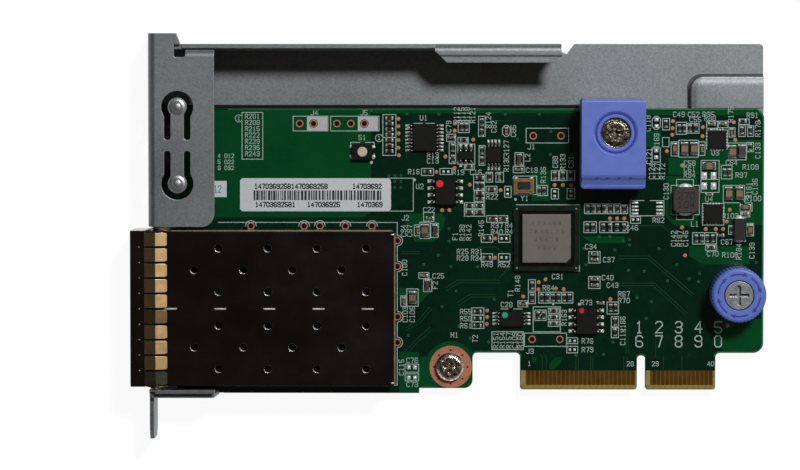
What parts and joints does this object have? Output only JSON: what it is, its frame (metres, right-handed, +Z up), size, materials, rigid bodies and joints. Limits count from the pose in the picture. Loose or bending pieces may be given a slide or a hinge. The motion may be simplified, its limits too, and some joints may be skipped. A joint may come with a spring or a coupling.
{
  "type": "network interface card",
  "caption": "Network card: green circuit board on a folded steel tray with a vented faceplate, a caged pair of module ports, a blue guide block and a captive thumbscrew.",
  "frame": {"origin": "middle of the card's outline on the plane of the tray's underside", "axes": "+Z up from the tray through the component side, +X along the card away from the module ports, +Y towards the long wall"},
  "size_m": [0.116, 0.0742, 0.0141],
  "materials": {
    "black_film": "matt",
    "black_moulding": "fine matt moulding",
    "blue_plastic": "satin moulding",
    "bright_screw": "bright nickel",
    "bronze_spring": "bright",
    "cream_plastic": "satin",
    "dark_nickel": "dark mirror finish",
    "dark_substrate": "satin",
    "gold": "polished",
    "green_board": "satin solder mask",
    "grey_ferrite": "matt",
    "label_paper": "matt",
    "nickel_lid": "satin",
    "solder": "bright",
    "tan_moulding": "matt",
    "zinc_steel": "dull zinc coating, fine spangle"
  },
  "bodies": {
    "card": {"bracket_tray": "zinc_steel", "insulator_film": "black_film", "circuit_board": "green_board", "edge_contacts": "gold", "cage_shell": "dark_nickel", "cage_divider": "dark_nickel", "spring_collar": "bronze_spring", "module_connector_upper": "black_moulding", "module_connector_lower": "black_moulding", "connector_contacts": "gold", "phy_substrate": "dark_substrate", "phy_lid": "nickel_lid", "phy_solder_balls": "solder", "expander_chip": "black_moulding", "memory_chip": "black_moulding", "supervisor_chip": "black_moulding", "logic_chip": "black_moulding", "sensor_chip": "black_moulding", "controller_chip": "black_moulding", "regulator_chip_upper": "black_moulding", "regulator_chip_lower": "black_moulding", "chip_leads": "solder", "power_inductor": "grey_ferrite", "inductor_terminals": "solder", "oscillator_base": "gold", "oscillator_lid": "nickel_lid", "tantalum_capacitor": "tan_moulding", "tantalum_terminals": "solder", "switch_case": "black_moulding", "switch_terminals": "solder", "guide_block": "blue_plastic", "block_screw": "bright_screw", "block_standoff": "nickel_lid", "board_screw": "bright_screw", "board_standoff": "nickel_lid", "thumbscrew_ferrule": "nickel_lid", "board_label": "label_paper", "batch_label": "label_paper", "chip_resistors": "black_moulding", "chip_capacitors": "tan_moulding", "ceramic_capacitors": "tan_moulding", "ferrite_beads": "grey_ferrite", "chip_ends": "solder"},
    "button": {"switch_button": "cream_plastic"},
    "thumbscrew_carrier": {"thumbscrew_clip": "bright_screw"},
    "thumbscrew": {"thumbscrew_knob": "blue_plastic", "thumbscrew_stem": "bright_screw"}
  },
  "joints": [
    {"name": "button_press", "type": "slide", "parent": "card", "child": "button", "axis": [0, 0, -1], "range_m": [0, 0.00025], "stiffness_N_per_m": 400},
    {"name": "thumbscrew_lift", "type": "slide", "parent": "card", "child": "thumbscrew_carrier", "axis": [0, 0, 1], "range_m": [-0.0009, 0.0002]},
    {"name": "thumbscrew_turn", "type": "hinge", "parent": "thumbscrew_carrier", "child": "thumbscrew", "pos_m": [0.05287, -0.01062, 0.00357], "axis": [0, 0, 1], "continuous": true}
  ]
}
